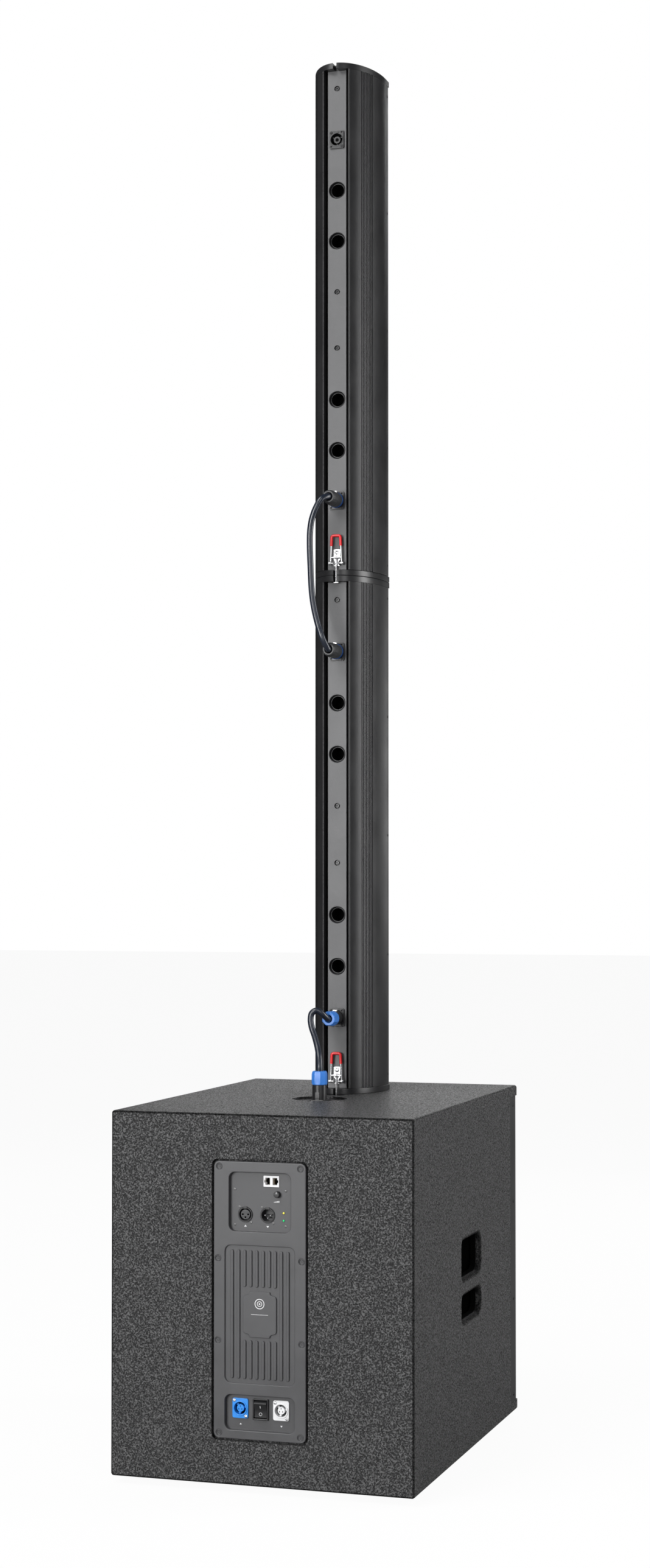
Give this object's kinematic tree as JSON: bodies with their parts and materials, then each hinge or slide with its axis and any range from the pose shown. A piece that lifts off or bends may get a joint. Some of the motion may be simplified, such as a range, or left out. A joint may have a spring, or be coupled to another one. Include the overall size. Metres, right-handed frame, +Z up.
{
  "type": "column loudspeaker system with subwoofer",
  "caption": "Portable column PA system: a tall powered bass cabinet carrying stacked slim column loudspeakers held by draw latches and joined by plug-in cables.",
  "frame": {"origin": "on the floor, under the centre of the bass cabinet", "axes": "+Z up, +Y towards the amplifier side, -Y towards the listening side, +X to the left seen from the amplifier side"},
  "size_m": [0.5, 0.684, 2.3729],
  "materials": {
    "textured_paint": "pebbled charcoal structure paint on plywood, matt",
    "plywood": "plain birch ply, unfinished",
    "black_steel": "black powder coat, semi-matt",
    "anodised_alloy": "black anodised extrusion, satin",
    "strip_paint": "dark grey satin paint",
    "panel_paint": "satin dark grey paint",
    "black_plastic": "moulded black plastic, satin",
    "rubber": "black rubber, matt",
    "cable_jacket": "dark flexible cable jacket, semi-gloss",
    "paper_cone": "treated dark paper pulp",
    "chrome_steel": "bright plated steel",
    "red_sleeve": "soft red sleeve, semi-gloss",
    "blue_connector": "light blue moulded plastic, semi-gloss",
    "white_plastic": "white moulded plastic",
    "lens": "coloured indicator lens, clear"
  },
  "bodies": {
    "base": {"cabinet_shell": "textured_paint", "front_baffle": "plywood", "front_grille": "black_steel", "woofer_basket": "black_steel", "latch_keeper": "black_steel", "panel_screws": "black_steel", "amp_chassis": "black_steel", "lower_grille": "black_steel", "upper_grille": "black_steel", "woofer_surround": "rubber", "foot_front_left": "rubber", "foot_front_right": "rubber", "foot_rear_left": "rubber", "foot_rear_right": "rubber", "handle_cup_left": "black_plastic", "handle_cup_right": "black_plastic", "cabinet_socket": "black_plastic", "xlr_input": "black_plastic", "xlr_output": "black_plastic", "switch_bezel": "black_plastic", "amp_panel": "panel_paint", "data_jacks": "white_plastic", "mains_outlet": "white_plastic", "indicator_lights": "lens", "mains_inlet": "blue_connector", "feed_plug_column": "blue_connector", "feed_cable": "cable_jacket", "lower_profile": "anodised_alloy", "lower_back_strip": "strip_paint", "lower_bottom_cap": "black_plastic", "lower_top_cap": "black_plastic", "lower_driver_row": "black_plastic", "lower_socket_bottom": "black_plastic", "lower_socket_top": "black_plastic", "lower_latch_base": "chrome_steel", "upper_profile": "anodised_alloy", "upper_back_strip": "strip_paint", "upper_bottom_cap": "black_plastic", "upper_top_cap": "black_plastic", "upper_driver_row": "black_plastic", "upper_socket_bottom": "black_plastic", "upper_socket_top": "black_plastic", "upper_latch_base": "chrome_steel"},
    "upper_latch": {"upper_latch_lever": "chrome_steel", "upper_latch_grip": "red_sleeve"},
    "upper_hook": {"upper_latch_hook": "chrome_steel"},
    "lower_latch": {"lower_latch_lever": "chrome_steel", "lower_latch_grip": "red_sleeve"},
    "lower_hook": {"lower_latch_hook": "chrome_steel"},
    "rocker": {"power_rocker": "black_plastic"},
    "knob": {"level_knob": "black_plastic"},
    "jumper": {"jumper_cable": "cable_jacket", "jumper_plug_upper": "blue_connector", "jumper_plug_lower": "blue_connector"},
    "jumper_tab_top": {"jumper_tab_upper": "chrome_steel"},
    "jumper_tab_base": {"jumper_tab_lower": "chrome_steel"},
    "feed_plug": {"feed_plug_cabinet": "blue_connector"},
    "feed_plug_tab": {"feed_tab_cabinet": "black_plastic"},
    "column_plug_tab": {"feed_tab_column": "chrome_steel"},
    "cone": {"woofer_cone": "paper_cone"}
  },
  "joints": [
    {"name": "lower_latch_swing", "type": "hinge", "parent": "base", "child": "lower_latch", "pos_m": [0, -0.0545, 0.611], "axis": [-1, 0, 0], "range_deg": [0, 112]},
    {"name": "lower_hook_swing", "type": "hinge", "parent": "lower_latch", "child": "lower_hook", "pos_m": [0, -0.0545, 0.621], "axis": [-1, 0, 0], "range_deg": [-102, 1]},
    {"name": "upper_latch_swing", "type": "hinge", "parent": "base", "child": "upper_latch", "pos_m": [0, -0.0545, 1.503], "axis": [-1, 0, 0], "range_deg": [0, 130]},
    {"name": "upper_hook_swing", "type": "hinge", "parent": "upper_latch", "child": "upper_hook", "pos_m": [0, -0.0545, 1.513], "axis": [-1, 0, 0], "range_deg": [-118, 1]},
    {"name": "power_switch", "type": "hinge", "parent": "base", "child": "rocker", "pos_m": [0, 0.33, 0.1308], "axis": [1, 0, 0], "range_deg": [0, 24]},
    {"name": "level_turn", "type": "hinge", "parent": "base", "child": "knob", "pos_m": [-0.0273, 0.337, 0.4651], "axis": [0, 1, 0], "range_deg": [-150, 150]},
    {"name": "jumper_unplug", "type": "slide", "parent": "base", "child": "jumper", "axis": [0, 1, 0], "range_m": [0, 0.05]},
    {"name": "jumper_top_tab", "type": "slide", "parent": "jumper", "child": "jumper_tab_top", "axis": [0, 1, 0], "range_m": [0, 0.003]},
    {"name": "jumper_base_tab", "type": "slide", "parent": "jumper", "child": "jumper_tab_base", "axis": [0, 1, 0], "range_m": [0, 0.003]},
    {"name": "feed_unplug", "type": "slide", "parent": "base", "child": "feed_plug", "axis": [0, 0, 1], "range_m": [0, 0.03], "deforming": ["feed_cable"]},
    {"name": "feed_cabinet_tab", "type": "slide", "parent": "feed_plug", "child": "feed_plug_tab", "axis": [0, 0, 1], "range_m": [0, 0.003]},
    {"name": "feed_column_tab", "type": "slide", "parent": "base", "child": "column_plug_tab", "axis": [0, 1, 0], "range_m": [0, 0.003]},
    {"name": "cone_travel", "type": "slide", "parent": "base", "child": "cone", "axis": [0, 1, 0], "range_m": [-0.008, 0.008]}
  ],
  "couplings": [
    {"joint": "lower_hook_swing", "follows": "lower_latch_swing", "ratio": -0.9},
    {"joint": "upper_hook_swing", "follows": "upper_latch_swing", "ratio": -0.9}
  ]
}
